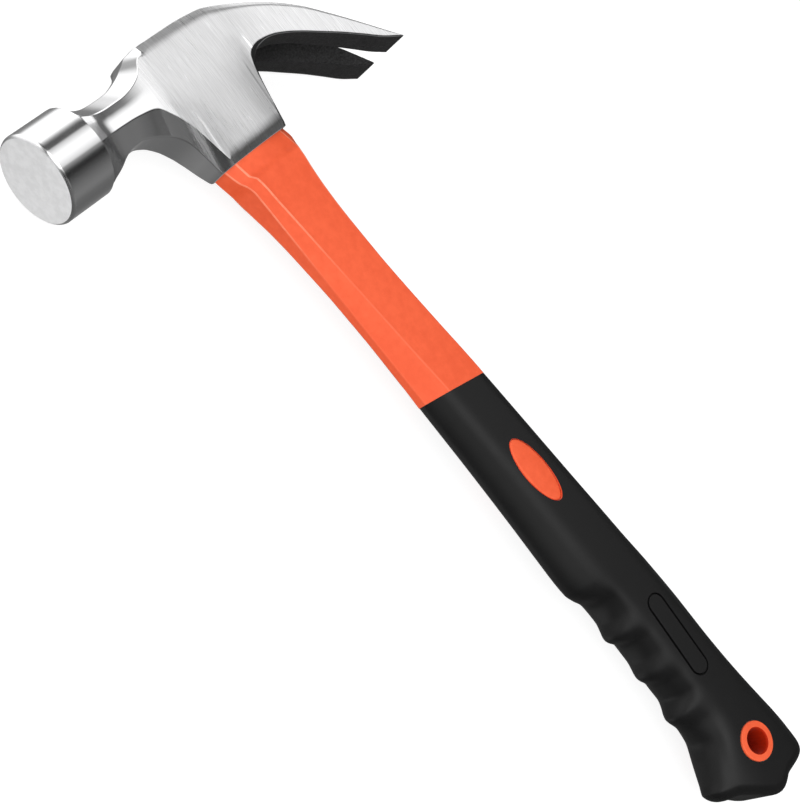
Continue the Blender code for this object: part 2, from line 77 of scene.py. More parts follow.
# ------------------------------------------------------- head: side profile
# (station along the head, value)
CROWN = [(19.3, -15.0), (21, -14.0), (23, -12.7), (25, -11.3), (27, -10.3), (29.5, -9.6), (32, -9.35), (35, -9.25),
         (38, -9.25), (41, -9.45), (44, -10.1), (47, -11.1), (50, -12.4), (52, -13.7), (53.4, -14.9), (56.5, -14.95),
         (60.3, -14.8), (66, -14.8), (72.2, -14.75), (78.4, -14.35), (84.3, -13.6), (88.7, -12.1), (92.9, -10.3),
         (99.1, -7.3), (106.9, -2.95), (113.2, 1.4), (119.3, 6.45), (124.8, 12.1), (130.2, 17.9), (138.1, 26.9),
         (143.3, 32.9), (HEAD_LENGTH, 35.0)]
UNDER = [(19.3, 15.8), (21, 15.2), (23, 14.6), (26, 13.5), (30, 11.7), (34, 10.5), (38, 10.3), (42, 11.6), (45, 13.5),
         (48, 16.2), (50, 19.2), (51, 21.4), (52.2, 25.6), (53.4, 30.4), (54.8, BOSS_BOTTOM), (87.6, BOSS_BOTTOM),
         (88.6, 27), (89.6, 20), (90.6, 14.2), (92, 10.2), (94.3, 8.4), (98, 8.0), (101, 8.5), (105.5, 10.2),
         (111.3, 13.3), (118.2, 17.7), (125.1, 22.2), (131.9, 27.1), (138.7, 32.1), (HEAD_LENGTH, 35.6)]
# ------------------------------------------------------- head: widths and facets
CROWN_HALF = [(19.3, 4.0), (22, 3.0), (26, 2.2), (30, 1.7), (48, 1.6), (50, 1.6), (52, 3), (53.4, 5), (54.5, 8.6),
              (55.5, 10.8), (60, 11.6), (80, 12.1), (90, 13.0), (110, 14.5), (130, 15.9), (HEAD_LENGTH, 17.1)]
SHOULDER = [(19.3, -5.8), (23, -5.2), (27, -4.6), (33, -4.15), (39, -4.15), (43, -4.6), (46.6, -5.66), (49, -6.97),
            (50.4, -8.5), (51.6, -10.2), (52.6, -11.1), (53.6, -11.4), (55, -11.2), (60, -11.0), (68, -11.0)]
SIDE_HALF = [(19.3, 14.6), (21, 13.6), (23, 12.5), (25, 11.5), (27, 10.8), (30, 10.3), (34, 10.1), (38, 10.2),
             (42, 10.5), (46, 11.0), (50, 11.6), (55, 12.3), (65, 12.9), (80, 13.3), (90, 14.2), (110, 15.4),
             (130, 16.5), (HEAD_LENGTH, 17.4)]
SIDE_MID = [(45, 0.0), (50, 1.0), (54, 3.5), (60, 8.0), (70, 8.0), (78, 5.0), (86, 1.0), (90, -1.0)]
HIP = [(19.3, 4.6), (23.5, 3.95), (29.5, 3.65), (36, 3.8), (42.3, 4.45), (45.1, 4.95), (47, 5.8), (48.5, 7.6),
       (50, 10.2), (51.4, 12.7), (52.9, 15.2), (54.1, 17.9), (55, 21), (55.8, 24.2), (56.6, 27.5), (57.2, 30.5),
       (57.8, 33.0), (58.4, 32.9), (59.4, 32.2), (60.4, 31.9), (84.8, 31.9), (85.5, 28.5), (86.2, 25), (86.8, 20.5),
       (87.7, 14.7), (88.3, 12.0), (89.4, 9.0), (91.3, 7.6), (94.6, 7.1), (98, 7.3), (101, 7.9), (105.5, 9.7),
       (111.3, 12.8), (118.2, 17.2), (125.1, 21.8), (131.9, 26.75), (138.7, 31.8), (HEAD_LENGTH, 35.4)]
HIP_HALF = [(43, 10.6), (47, 11.0), (50.8, 11.2), (52.5, 10.6), (54.1, 10.1), (55.8, 9.5), (57.2, 8.9), (58.4, 8.8),
            (60.4, 9.1), (63, 9.6), (66, 10.2), (70, 10.7), (74, 10.9), (78, 10.7), (82, 10.2), (84.8, 9.8),
            (86.2, 10.4), (86.8, 11.0), (87.7, 11.9), (88.3, 12.5), (89.5, 13.4), (91.4, 14.2)]
UNDER_HALF = [(19.3, 6.4), (23, 5.6), (27, 4.9), (32, 4.5), (38, 4.5), (43, 5.0), (47, 6.2), (50, 6.8), (51, 6.7),
              (52.2, 6.1), (53.4, 5.4), (54.8, 4.4), (56.6, 6.2), (57.7, 7.1), (58.8, 7.3), (62, 7.8), (66, 8.6),
              (70, 9.1), (74, 9.3), (78, 9.1), (82, 8.6), (84.8, 7.8), (86.2, 6.8), (87.6, 5.5), (88.6, 6.3),
              (89.6, 7.2), (90.6, 8.4), (92, 11), (94.3, 13.0), (98, 14.0), (110, 15.0), (130, 16.1),
              (HEAD_LENGTH, 17.0)]

HIP_ROUND = [(58.0, 0.4), (60.0, 3.0), (84.0, 3.0), (86.0, 0.4)]
TOP_BEVEL = [(60, 3.8), (85, 3.4), (100, 2.2), (HEAD_LENGTH, 0.7)]
TOP_ROUND = [(53.4, 0.4), (57, 1.7), (85, 1.6), (100, 0.9), (HEAD_LENGTH, 0.4)]
SHOULDER_LEAN = [(19.3, 0.0), (24, 0.5), (30, 0.9), (40, 1.0), (46, 0.9), (50, 0.5), (53, 0.0)]
CLAW_BEVEL = [(96, 0.9), (99, 0.5), (103, 0.4)]

# ------------------------------------------------------- claw slot
SLOT_START, SLOT_FLOOR_END = 94.0, 113.5
SLOT_TOP = [(94, 0.5), (113, 0.6), (120, 0.9), (130, 1.4), (136.1, 1.8), (138.7, 2.2), (141.5, 2.65), (145.2, 3.7),
            (150, 4.4)]
SLOT_BOTTOM = [(94, 0.9), (95, 2.5), (97, 4.2), (100, 5.6), (105, 6.5), (113, 6.7), (122, 6.3), (130, 5.75), (137, 5.5),
               (141, 5.1), (145, 4.5), (150, 4.4)]

# ------------------------------------------------------- handle sections
# stations are distances from the head's reference line
MID_Y = [(34.9, 71.5), (43, 72.4), (65, 72.6), (85, 73.0), (119, 73.7), (140, 74.2), (215, 74.0), (240, 74.3),
         (285, 74.3), (300, 73.6), (325, 73.0)]
FRONT = [(34.9, 15.6), (38, 15.3), (41, 14.8), (43, 14.05), (46, 13.45), (52, 13.05), (60, 12.55), (70, 12.3),
         (80, 12.33), (90, 12.4), (100, 12.6), (110, 12.88), (120, 13.3), (130, 13.8), (140, 14.3), (165, 14.9),
         (190, 16.0), (205, 16.9), (216, 17.4), (221, 17.1), (225, 15.35), (231, 11.6), (237, 12.8), (243, 16.2),
         (249, 12.2), (255, 13.0), (261, 15.9), (267, 12.9), (273, 12.8), (279, 17.95), (285, 16.2), (291, 16.15),
         (297, 19.6), (303, 23.6), (309, 27.9), (316, 27.2), (325, 27.0)]
REAR = [(34.9, 15.4), (38, 15.6), (40, 15.1), (42, 14.3), (44, 13.6), (46, 13.1), (52, 12.6), (60, 12.4), (70, 12.25),
        (80, 12.35), (90, 12.45), (100, 12.7), (110, 13.0), (120, 13.3), (130, 13.6), (140, 13.85), (165, 14.3),
        (190, 14.65), (220, 15.5), (246, 15.85), (258, 15.35), (267, 14.75), (274, 14.6), (285, 15.1), (291, 15.6),
        (297, 16.2), (309, 17.2), (315, 16.9), (325, 15.6)]
EDGE_HALF = [(34.9, 4.0), (40.5, 4.4), (43.5, 5.2), (46, 5.55), (52, 4.97), (60, 4.05), (70, 3.29), (80, 2.74),
             (90, 2.29), (100, 2.07), (110, 1.9), (120, 1.93), (130, 1.98), (140, 2.2), (170, 2.6), (216, 3.2),
             (232, 5.0), (243.5, 4.0), (251, 5.2), (261.5, 4.0), (271, 5.2), (282, 4.0), (292, 5.0), (303, 5.0),
             (325, 5.0)]
EDGE_REAR = [(34.9, 4.0), (40.5, 4.4), (43.5, 5.2), (46, 5.55), (52, 4.97), (60, 4.05), (70, 3.29), (80, 2.74),
             (90, 2.29), (100, 2.07), (110, 1.9), (120, 1.93), (130, 1.98), (140, 2.2), (170, 2.6), (216, 3.2),
             (232, 4.0), (285, 4.2), (303, 5.0), (325, 5.0)]
FLAT_FRONT = [(34.9, 11.9), (40.5, 11.9), (43.5, 11.2), (46, 10.93), (52, 10.34), (60, 9.59), (70, 9.0), (80, 8.68),
              (90, 8.38), (100, 8.27), (110, 8.19), (120, 8.28), (130, 8.43), (140, 8.3), (170, 8.4), (216, 9.0),
              (240, 8.0), (285, 9.0), (303, 13.5), (325, 14.5)]
FLAT_REAR = [(34.9, 11.6), (40.5, 11.9), (43.5, 10.8), (46, 10.43), (52, 9.79), (60, 9.25), (70, 8.78), (80, 8.49),
             (90, 8.23), (100, 8.11), (110, 8.1), (120, 8.01), (130, 7.94), (140, 8.0), (170, 8.4), (216, 9.0),
             (240, 8.6), (285, 9.0), (303, 10.5), (325, 11.0)]
THICK_EDGE = [(34.9, 7.0), (40.5, 7.3), (43.5, 9.1), (46, 9.18), (52, 8.66), (60, 8.15), (70, 7.89), (80, 7.83),
              (90, 7.89), (100, 8.16), (110, 8.48), (120, 8.99), (130, 9.51), (140, 9.8), (180, 10.8), (216, 11.6),
              (260, 12.0), (325, 12.2)]
THICK_MID = [(34.9, 9.2), (40.5, 9.2), (43.5, 9.4), (46, 9.38), (52, 8.86), (60, 8.35), (70, 8.09), (80, 8.03),
             (90, 8.09), (100, 8.36), (110, 8.68), (120, 9.2), (130, 9.72), (140, 10.1), (180, 11.2), (216, 12.1),
             (260, 12.6), (325, 12.8)]
BUTT_LINE = [(42, 305.2), (44, 307.4), (48, 310.6), (50, 311.5), (54, 313.0), (58, 316.5), (62, 320.6), (65, 322.8),
             (67.5, BUTT_END), (70, 323.0), (74, 321.5), (84, 321.5), (86, 320.8), (90, 318.6), (95, 316.8)]

def curve(table, s):
    """Smooth monotone curve through the design stations of a table."""
    xs = [p[0] for p in table]
    ys = [p[1] for p in table]
    n = len(xs)
    if s <= xs[0]:
        return ys[0]
    if s >= xs[-1]:
        return ys[-1]
    h = [xs[i + 1] - xs[i] for i in range(n - 1)]
    d = [(ys[i + 1] - ys[i]) / h[i] for i in range(n - 1)]
    m = [0.0] * n
    m[0], m[-1] = d[0], d[-1]
    for i in range(1, n - 1):
        if d[i - 1] * d[i] > 0:
            w1, w2 = 2 * h[i] + h[i - 1], h[i] + 2 * h[i - 1]
            m[i] = (w1 + w2) / (w1 / d[i - 1] + w2 / d[i])
    i = max(j for j in range(n - 1) if xs[j] <= s)
    t = (s - xs[i]) / h[i]
    t2, t3 = t * t, t * t * t
    return ((2 * t3 - 3 * t2 + 1) * ys[i] + (t3 - 2 * t2 + t) * h[i] * m[i]
            + (-2 * t3 + 3 * t2) * ys[i + 1] + (t3 - t2) * h[i] * m[i + 1])


def rounded(poly, amount, steps):
    """Round each corner of a polygon. A positive amount is a share of the edge, a negative one is in mm."""
    out = []
    n = len(poly)
    for i in range(n):
        p = np.array(poly[i], float)
        a = np.array(poly[i - 1], float)
        b = np.array(poly[(i + 1) % n], float)
        la, lb = np.linalg.norm(a - p), np.linalg.norm(b - p)
        f = amount[i]
        da, db = (min(-f, 0.45 * la), min(-f, 0.45 * lb)) if f < 0 else (f * la, f * lb)
        p0 = p + (a - p) / la * da
        p2 = p + (b - p) / lb * db
        for k in range(steps):
            t = k / (steps - 1)
            out.append((1 - t) ** 2 * p0 + 2 * t * (1 - t) * p + t * t * p2)
    return out


def mirrored(half):
    return half + [(u, -z) for u, z in reversed(half)]


# ------------------------------------------------------------------ head
ARC = [(2, 43), (45.5, 77), (79, 101), (103, 134.5), (137, 178)]    # degrees round the poll for each corner


def poll_circle(r, steps):
    near = []
    for a, b in ARC:
        for k in range(steps):
            th = math.radians(a + (b - a) * k / (steps - 1))
            near.append((-r * math.cos(th) + POLL_DROP, r * math.sin(th)))
    return [np.array(p) for p in mirrored(near)]


def head_corners(y):
    top, side, under = curve(CROWN, y), curve(SIDE_HALF, y), curve(UNDER, y)
    bevel = 0.3 * (under - top)
    shoulder = curve(SHOULDER, y) if y <= 60 else top + min(curve(TOP_BEVEL, y), bevel)
    hip = curve(HIP, y) if y < 96 else under - min(curve(CLAW_BEVEL, y), bevel)
    hip_half = curve(HIP_HALF, y) if 43 < y < 91 else side
    under_half = curve(UNDER_HALF, y)
    if y > 90:
        under_half = min(under_half, hip_half - 0.35)
    middle = 0.5 * (shoulder + hip)
    if 43 < y < 90:
        w = max(0.0, min(1.0, (y - 43) / 7.0, (90 - y) / 4.0))
        middle = w * curve(SIDE_MID, y) + (1 - w) * middle
    return [(top, curve(CROWN_HALF, y)), (shoulder, side - curve(SHOULDER_LEAN, y)), (middle, side),
            (hip, hip_half), (under, under_half)]


def head_ring(y, steps=3, edge=0.5):
    if y <= POLL_LENGTH + 0.01:
        r = POLL_RADIUS
        if y < 1.1:
            r -= 0.9 * (1 - y / 1.1) ** 1.6
        if y > 18.5:
            r -= 0.5 * ((y - 18.5) / 0.5) ** 2
        return [(p[0], y, p[1]) for p in poll_circle(r, steps)]
    rim = 0.12 if 55 < y < 87 else edge
    amount = [-edge, -max(edge, curve(TOP_ROUND, y)), 0.4, -max(edge, curve(HIP_ROUND, y)), -rim]
    pts = rounded(mirrored(head_corners(y)), amount + amount[::-1], steps)
    return [(p[0], y, p[1]) for p in pts]


def slot_ring(y):
    top, under = curve(CROWN, min(y, HEAD_LENGTH)), curve(UNDER, min(y, HEAD_LENGTH))
    if y > HEAD_LENGTH:
        top, under = top + (y - HEAD_LENGTH), under + (y - HEAD_LENGTH)
    depth = under - (top - 1.5)
    share = min(1.0, (y - SLOT_START + 0.7) / (SLOT_FLOOR_END - SLOT_START + 0.7))
    floor = under - depth * share ** 0.62
    wt, wb = curve(SLOT_TOP, y), curve(SLOT_BOTTOM, y)
    wt = min(wt, wb)
    # the wall's slope is carried past the underside
    low = under + 2.5
    slope = (wb - wt) / max(under - floor, 1.0)
    wl = wb + slope * 2.5
    return [(floor, y, wt), (floor, y, -wt), (low, y, -wl), (low, y, wl)]


# ------------------------------------------------------------------ handle
def butt_limit(y):
    return curve(BUTT_LINE, y)


def handle_corners(x, inset=0.0):
    """Near half of the handle's section: front edge, front flat, middle, rear flat, rear edge."""
    c, af, ar = curve(MID_Y, x), curve(FRONT, x) - inset, curve(REAR, x) - inset
    zf, zr = max(curve(EDGE_HALF, x) - 0.41 * inset, 0.6), max(curve(EDGE_REAR, x) - 0.41 * inset, 0.6)
    yf, yr = curve(FLAT_FRONT, x) - 0.41 * inset, curve(FLAT_REAR, x) - 0.41 * inset
    b1, b = curve(THICK_EDGE, x) - inset, curve(THICK_MID, x) - inset
    return [(c - af, zf), (c - yf, b1), (c, b), (c + yr, b1), (c + ar, zr)]


def handle_ring(x, steps=3, soft=(0.3, 0.3, 0.5), inset=0.0, shear=0.0):
    amount = [soft[0], soft[1], soft[2], soft[1], soft[0]]
    pts = rounded(mirrored(handle_corners(x, inset)), amount + amount[::-1], steps)
    return [(x + shear * (p[0] - 74.0), p[0], p[1]) for p in pts]


def grip_shear(x):
    return curve([(GRIP_TOP, GRIP_SHEAR), (155, GRIP_SHEAR), (200, 0.0), (HOOK_START, 0.0)], x)


def butt_ring(t, turn, steps, soft, inset, round_r):
    """Section of the flared butt: every point runs out to its own place on the slanted end, then turns inwards."""
    def run(y):
        if t == 1:
            return butt_limit(y) - inset - round_r * (1 - math.sin(turn))
        return HOOK_START + t * (butt_limit(y) - inset - round_r - HOOK_START)

    near = []
    for k in range(5):
        x = HOOK_START
        for _ in range(8):
            reach = butt_limit(handle_corners(x, inset)[k][0]) - inset - round_r
            x = HOOK_START + t * (reach - HOOK_START)
        near.append(handle_corners(x, inset + round_r * (1 - math.cos(turn)))[k])
    amount = [soft[0], soft[1], soft[2], soft[1], soft[0]]
    return [(run(p[0]), p[0], p[1]) for p in rounded(mirrored(near), amount + amount[::-1], steps)]


def butt_rings(steps, soft, inset, round_r, count=4, turns=4):
    rings = [butt_ring(i / count, 0.0, steps, soft, inset, round_r) for i in range(1, count + 1)]
    return rings + [butt_ring(1, 0.5 * math.pi * i / turns, steps, soft, inset, round_r) for i in range(1, turns + 1)]


GRIP_SOFT = (0.45, 0.4, 0.5)
JACKET_SOFT = (-0.4, -0.4, 0.5)


def grip_outer_rings():
    rings = [handle_ring(x, 3, GRIP_SOFT, 0.0, grip_shear(x)) for x in GRIP_STATIONS]
    return rings + butt_rings(3, GRIP_SOFT, 0.0, BUTT_ROUND)


def tang_rings(inset, start):
    xs = [start] + [x for x in GRIP_STATIONS[1:]]
    rings = [handle_ring(x, 3, GRIP_SOFT, inset, grip_shear(x)) for x in xs]
    return rings + butt_rings(3, GRIP_SOFT, inset, 2.0, 3, 3)


def oval_ring(half_long, half_wide, centre, z, count=32):
    return [(centre[0] + half_long * math.cos(2 * math.pi * k / count),
             centre[1] + half_wide * math.sin(2 * math.pi * k / count), z) for k in range(count)]


def stadium_ring(half_long, half_wide, cy, x, steps=6):
    """Round-ended slot section across the handle, at distance x."""
    pts = []
    r = half_wide
    for side, start in ((1, -90), (-1, 90)):
        for k in range(steps + 1):
            a = math.radians(start + 180 * k / steps)
            pts.append((x, cy + side * (half_long - r) + r * math.cos(a), r * math.sin(a)))
    return pts



# ------------------------------------------------------------------ stations
def span(a, b, step):
    """Evenly spaced stations from a up to, but not including, b."""
    n = max(1, int(round((b - a) / step)))
    return [a + (b - a) * k / n for k in range(n)]


HEAD_STATIONS = ([0.0, 0.08, 0.2, 0.38, 0.6, 0.85, 1.1, 1.6] + span(2.4, 18.5, 2.0)
                 + [18.5, 18.7, 18.85, 18.95, POLL_LENGTH, 19.3, 19.6] + span(20.0, 46.0, 0.75)
                 + span(46.0, 60.0, 0.35) + span(60.0, 84.0, 1.2) + span(84.0, 96.0, 0.35)
                 + span(96.0, 143.3, 0.9) + [143.3, 144.2, HEAD_LENGTH])
SLOT_STATIONS = [94.0, 94.3, 94.6, 95.0] + span(95.5, 104.0, 0.6) + span(104.0, 148.0, 1.6) + [148.0]
JACKET_EDGE = GRIP_TOP - 0.1      # the jacket's shoulder meets the grip's top edge
JACKET_STATIONS = ([JACKET_TOP - 0.2] + span(JACKET_TOP + 0.6, 39.5, 0.7) + span(39.5, 46.0, 0.4)
                   + span(46.0, 60.0, 1.0)
                   + span(60.0, JACKET_EDGE, 1.6) + [JACKET_EDGE])
GRIP_STATIONS = [GRIP_TOP] + span(GRIP_TOP + 1.0, 205.0, 1.6) + span(205.0, HOOK_START, 0.8) + [HOOK_START]
TANG_STATIONS = [GRIP_TOP, 150, 162, 175, 190, 203, 211, 216, 219, 222, 226, 230, 234, 238, 241, 243.5, 246, 250,
                 254, 258, 261.5, 264, 268, 272, 276, 279, 282, 286, 290, 294, HOOK_START]


# ------------------------------------------------------------------ meshes
X0 = 0.5 * (POLL_DROP - POLL_RADIUS + BUTT_END)
Y0 = 0.5 * HEAD_LENGTH
Z0 = 17.4


def place(x, y, z):
    return ((x - X0) * MM, (y - Y0) * MM, (z + Z0) * MM)


def loft(rings, strip_caps=True, region=None):
    """Quads between rings, closed at both ends. Rings are symmetric, so the caps are strips of quads."""
    verts, faces, slots = [], [], []
    n = len(rings[0])
    for r in rings:
        verts += [tuple(p) for p in r]
    for i in range(len(rings) - 1):
        for j in range(n):
            k = (j + 1) % n
            faces.append((i * n + j, i * n + k, (i + 1) * n + k, (i + 1) * n + j))
            slots.append(region(i, j) if region else 0)
    last = (len(rings) - 1) * n
    for base, flip, i in ((0, True, 0), (last, False, len(rings) - 1)):
        if strip_caps:
            for j in range(n // 2 - 1):
                quad = (base + j, base + j + 1, base + n - 2 - j, base + n - 1 - j)
                faces.append(quad[::-1] if flip else quad)
                slots.append(region(i, -1) if region else 0)
        else:
            face = tuple(range(base, base + n))
            faces.append(face[::-1] if flip else face)
            slots.append(0)
    return verts, faces, slots


def mesh_object(name, verts, faces, slots, materials):
    me = bpy.data.meshes.new(name)
    me.from_pydata([place(*v) for v in verts], [], faces)
    for m in materials:
        me.materials.append(m)
    for p, s in zip(me.polygons, slots):
        p.material_index = s
    bm = bmesh.new()
    bm.from_mesh(me)
    bmesh.ops.triangulate(bm, faces=[f for f in bm.faces if len(f.verts) > 4])
    bmesh.ops.recalc_face_normals(bm, faces=bm.faces)
    bm.to_mesh(me)
    bm.free()
    ob = bpy.data.objects.new(name, me)
    bpy.context.scene.collection.objects.link(ob)
    return ob


def shell(name, rings, material, strip_caps=True, region=None, extra=()):
    return mesh_object(name, *loft(rings, strip_caps, region), [material, *extra])


def cut(ob, tool, operation='DIFFERENCE'):
    """Applies an exact Boolean and removes the tool."""
    mod = ob.modifiers.new('cut', 'BOOLEAN')
    mod.operation = operation
    mod.solver = 'EXACT'
    mod.material_mode = 'TRANSFER'
    mod.object = tool
    apply_all(ob)
    bpy.data.objects.remove(tool, do_unlink=True)


def apply_all(ob):
    deps = bpy.context.evaluated_depsgraph_get()
    deps.update()
    me = bpy.data.meshes.new_from_object(ob.evaluated_get(deps))
    old = ob.data
    ob.modifiers.clear()
    ob.data = me
    me.name = ob.name
    bpy.data.meshes.remove(old)


def finish_shading(ob, sharp=35.0):
    """Welds stray points, shades smooth with weighted normals and keeps the hard edges."""
    bm = bmesh.new()
    bm.from_mesh(ob.data)
    bmesh.ops.remove_doubles(bm, verts=bm.verts, dist=2e-6)
    bmesh.ops.dissolve_degenerate(bm, edges=bm.edges, dist=1e-6)
    bmesh.ops.recalc_face_normals(bm, faces=bm.faces)
    bm.to_mesh(ob.data)
    bm.free()
    ob.data.shade_smooth()
    ob.data.set_sharp_from_angle(angle=math.radians(sharp))
    mod = ob.modifiers.new('normals', 'WEIGHTED_NORMAL')
    mod.mode = 'FACE_AREA'
    mod.weight = 50
    mod.keep_sharp = True
    apply_all(ob)


def revolve(name, profile, centre, material, count=96):
    """Turned solid about a line along z; profile is (radius, z) pairs from the bottom axis point to the top one."""
    verts, faces = [], []
    for r, z in profile:
        for k in range(count):
            a = 2 * math.pi * k / count
            verts.append((centre[0] + r * math.cos(a), centre[1] + r * math.sin(a), z))
    for i in range(len(profile) - 1):
        for k in range(count):
            m = (k + 1) % count
            faces.append((i * count + k, i * count + m, (i + 1) * count + m, (i + 1) * count + k))
    faces.append(tuple(range(count))[::-1])
    last = (len(profile) - 1) * count
    faces.append(tuple(range(last, last + count)))
    return mesh_object(name, verts, faces, [0] * len(faces), [material])


# ------------------------------------------------------------------ node helpers
class Nodes:
    """Small helper for building a node tree."""

    def __init__(self, tree):
        self.tree = tree
        self.tree.nodes.clear()

    def add(self, kind, **settings):
        node = self.tree.nodes.new(kind)
        for key, value in settings.items():
            setattr(node, key, value)
        return node

    def link(self, out, inp):
        self.tree.links.new(out, inp)

    def value(self, inp, v):
        """Links a socket, or sets a number."""
        if isinstance(v, bpy.types.NodeSocket):
            self.link(v, inp)
        else:
            inp.default_value = v

    def math(self, op, a, b=None, c=None, clamp=False):
        node = self.add('ShaderNodeMath', operation=op, use_clamp=clamp)
        self.value(node.inputs[0], a)
        if b is not None:
            self.value(node.inputs[1], b)
        if c is not None:
            self.value(node.inputs[2], c)
        return node.outputs[0]

    def span(self, v, a, b, lo=0.0, hi=1.0):
        """Smooth step of v from a to b, giving lo to hi."""
        node = self.add('ShaderNodeMapRange', interpolation_type='SMOOTHSTEP')
        self.value(node.inputs['Value'], v)
        for name, x in (('From Min', a), ('From Max', b), ('To Min', lo), ('To Max', hi)):
            node.inputs[name].default_value = x
        return node.outputs['Result']

    def coords(self, scale=(1, 1, 1), turn=(0, 0, 0)):
        tex = self.add('ShaderNodeTexCoord')
        node = self.add('ShaderNodeMapping')
        node.inputs['Rotation'].default_value = [math.radians(a) for a in turn]
        node.inputs['Scale'].default_value = scale
        self.link(tex.outputs['Object'], node.inputs['Vector'])
        return node.outputs['Vector']

    def noise(self, vector, scale=1.0, detail=2.0, rough=0.5):
        node = self.add('ShaderNodeTexNoise')
        self.link(vector, node.inputs['Vector'])
        node.inputs['Scale'].default_value = scale
        node.inputs['Detail'].default_value = detail
        node.inputs['Roughness'].default_value = rough
        return node.outputs['Fac']

    def mix(self, fac, a, b):
        node = self.add('ShaderNodeMix', data_type='RGBA')
        self.value(node.inputs['Factor'], fac)
        for name, v in (('A', a), ('B', b)):
            sock = [s for s in node.inputs if s.name == name and s.type == 'RGBA'][0]
            if isinstance(v, bpy.types.NodeSocket):
                self.link(v, sock)
            else:
                sock.default_value = (*v, 1.0)
        return [s for s in node.outputs if s.type == 'RGBA'][0]

    def bump(self, height, distance, strength=1.0, normal=None):
        node = self.add('ShaderNodeBump')
        node.inputs['Strength'].default_value = strength
        node.inputs['Distance'].default_value = distance
        self.link(height, node.inputs['Height'])
        if normal is not None:
            self.link(normal, node.inputs['Normal'])
        return node.outputs['Normal']

    def surface(self, **sockets):
        bsdf = self.add('ShaderNodeBsdfPrincipled')
        out = self.add('ShaderNodeOutputMaterial')
        for name, v in sockets.items():
            name = name.replace('_', ' ')
            if isinstance(v, tuple):
                v = (*v, 1.0)
            self.value(bsdf.inputs[name], v)
        self.link(bsdf.outputs['BSDF'], out.inputs['Surface'])
        return bsdf


def new_material(name):
    mat = bpy.data.materials.new(name)
    mat.use_nodes = True
    return mat, Nodes(mat.node_tree)


def grey(v):
    """Linear value of a display grey from 0 to 255."""
    v /= 255.0
    return v / 12.92 if v <= 0.04045 else ((v + 0.055) / 1.055) ** 2.4


